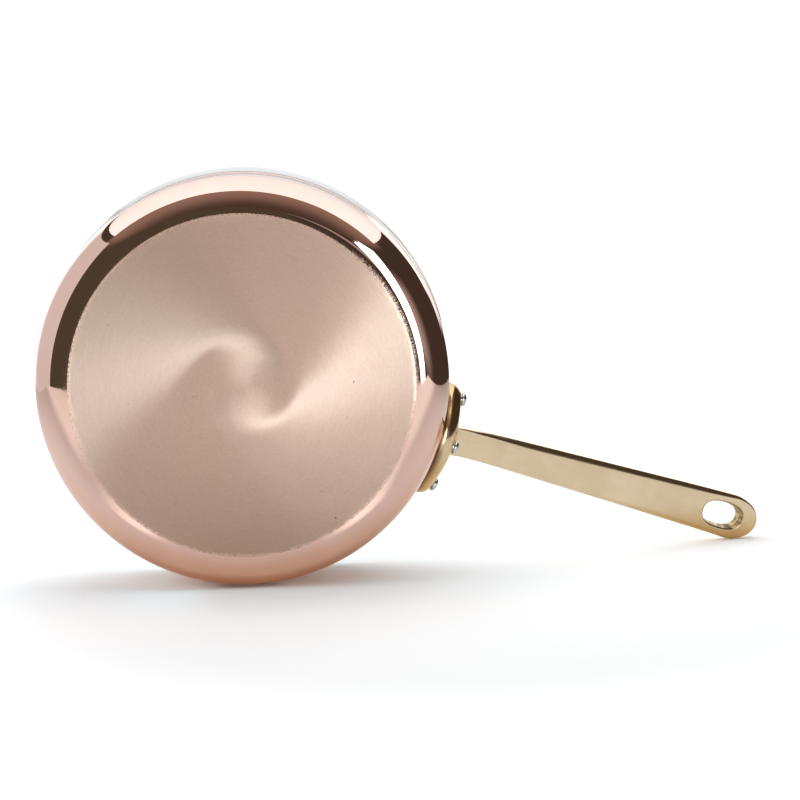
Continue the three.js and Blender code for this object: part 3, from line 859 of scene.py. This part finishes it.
TOP = 450.0
edge = [(-1.31, 0.68), (-1.063, 0.622), (-0.681, 0.539), (-0.32, 0.486), (-0.02, 0.486), (0.279, 0.527), (0.635, 0.6085), (1.11, 0.80), (1.377, 0.93)]
front_edge = [lying(r * (TOP - 100), TOP, t * (TOP - 100)) for r, t in edge]
scrim = front_edge + [lying(482, TOP, -2500), lying(-460, TOP, -2500)]
light_panel("stage_scrim", scrim, -P_UP, (1.36, 1.42, 1.46), (0.8, 0.83, 0.85), (-0.1, 1.2))
wall = [lying(-940, -300, -2500), lying(-940, -300, 560), lying(-940, -115, 580), lying(-940, 805, 690), lying(-940, 805, -2500)]
light_panel("stage_wall", wall, P_RIGHT, (0.72, 0.71, 0.72), (1.4, 1.4, 1.4), (0.7, 1.2))
box = [lying(r, u, 1000) for r, u in ((206, -170), (455, -170), (487, -103), (520, -50), (548, 9), (572, 73), (592, 143), (600, 218), (612, 300), (630, 402), (640, 515), (423, 399), (285, 250), (252, 135), (224, 48), (202, -5), (194, -48), (197, -97), (202, -130))]
light_panel("stage_softbox", box, -P_NEAR, (4.5, 5.4, 5.5))

reflector = [lying(-33 + 155 * math.cos(a), -82 + 74 * math.sin(a), 1000) for a in (2 * math.pi * i / 40 for i in range(40))]
light_panel("stage_reflector", reflector, -P_NEAR, (2.2, 2.11, 1.99))

world = bpy.data.worlds.new("studio")
bpy.context.scene.world = world
world.use_nodes = True
n = Nodes(world.node_tree)
tc = n.add("ShaderNodeTexCoord")
d = n.vec("NORMALIZE", tc.outputs["Generated"])
dr = n.vec("DOT_PRODUCT", d, tuple(P_RIGHT))
du = n.vec("DOT_PRODUCT", d, tuple(P_UP))
dt = n.vec("DOT_PRODUCT", d, tuple(P_NEAR))
DEG = 180 / math.pi
polar = n.math("MULTIPLY", n.math("ARCCOSINE", dt), DEG)
az = n.math("MULTIPLY", n.math("ARCTAN2", dr, du), DEG)


def between(x, lo, hi, soft):
    return n.math("MULTIPLY", n.step(x, lo - soft, lo + soft), n.step(x, hi - soft, hi + soft, 1.0, 0.0))


# dark room, a little lighter higher up
room = n.mix(n.step(polar, 6.0, 60.0), rgba(0.075, 0.054, 0.042), rgba(0.30, 0.21, 0.17))
room = n.mix(n.step(polar, 62.0, 72.0), room, rgba(0.055, 0.044, 0.032))
room = n.mix(n.step(az, 46.0, 52.0), room, rgba(0.055, 0.042, 0.033))
room = n.mix(n.step(az, -46.0, -54.0), room, rgba(0.075, 0.065, 0.045))
room = n.mix(n.step(polar, 118.0, 140.0), room, rgba(0.045, 0.037, 0.022))
# the softbox spills a little light past its right side
spill = n.math("MULTIPLY", n.step(polar, 24.0, 58.0, 1.0, 0.0), between(az, 66.0, 100.0, 7.0))
room = n.mix(spill, room, rgba(0.46, 0.39, 0.36))
# gap of light behind on the right
strip_at = n.math("SUBTRACT", polar, n.math("MULTIPLY_ADD", n.math("SUBTRACT", az, 56.0), -1.06, 152.0))
strip = n.math("MULTIPLY", between(strip_at, -4.0, 4.0, 1.5), between(az, 46.0, 72.0, 3.0))
back = n.math("MAXIMUM", n.step(polar, 148.0, 158.0), n.math("MULTIPLY", n.step(polar, 132.0, 138.0), between(az, 38.0, 86.0, 3.0)))
colour = n.mix(strip, n.mix(back, room, rgba(1.3, 1.28, 1.25)), rgba(2.6, 2.5, 2.3))
studio = n.add("ShaderNodeBackground")
n.link(colour, studio.inputs["Color"])
plain = n.add("ShaderNodeBackground")
plain.inputs["Color"].default_value = rgba(1.05, 1.05, 1.05)
ray = n.add("ShaderNodeLightPath")
mixed = n.add("ShaderNodeMixShader")
n.link(ray.outputs["Is Camera Ray"], mixed.inputs[0])
n.link(studio.outputs[0], mixed.inputs[1])
n.link(plain.outputs[0], mixed.inputs[2])
n.link(mixed.outputs[0], n.add("ShaderNodeOutputWorld").inputs[0])
world.cycles.sampling_method = "MANUAL"
world.cycles.sample_map_resolution = 1024

# ---------------------------------------------------------------------------------------------------------------------
# camera
# ---------------------------------------------------------------------------------------------------------------------
cam = bpy.data.cameras.new("camera")
cam.sensor_width = 36.0
cam.sensor_fit = "HORIZONTAL"
cam.lens = 1710.8 * 36.0 / 800.0
cam.clip_start, cam.clip_end = 0.01, 100.0
cob = bpy.data.objects.new("camera", cam)
bpy.context.collection.objects.link(cob)
eye = lying(32.389, 152.390, 968.287) * MM
fwd = lying(0.05848504, -0.16298098, -0.98489426)
rgt = lying(0.99824154, 0.0, 0.05927762)
upv = lying(0.00966113, 0.98662921, -0.16269439)
m = Matrix((rgt, upv, -fwd)).transposed().to_4x4()
m.translation = eye
cob.matrix_world = m
bpy.context.scene.camera = cob

bpy.context.scene.view_settings.view_transform = "Standard"
bpy.context.scene.view_settings.look = "None"
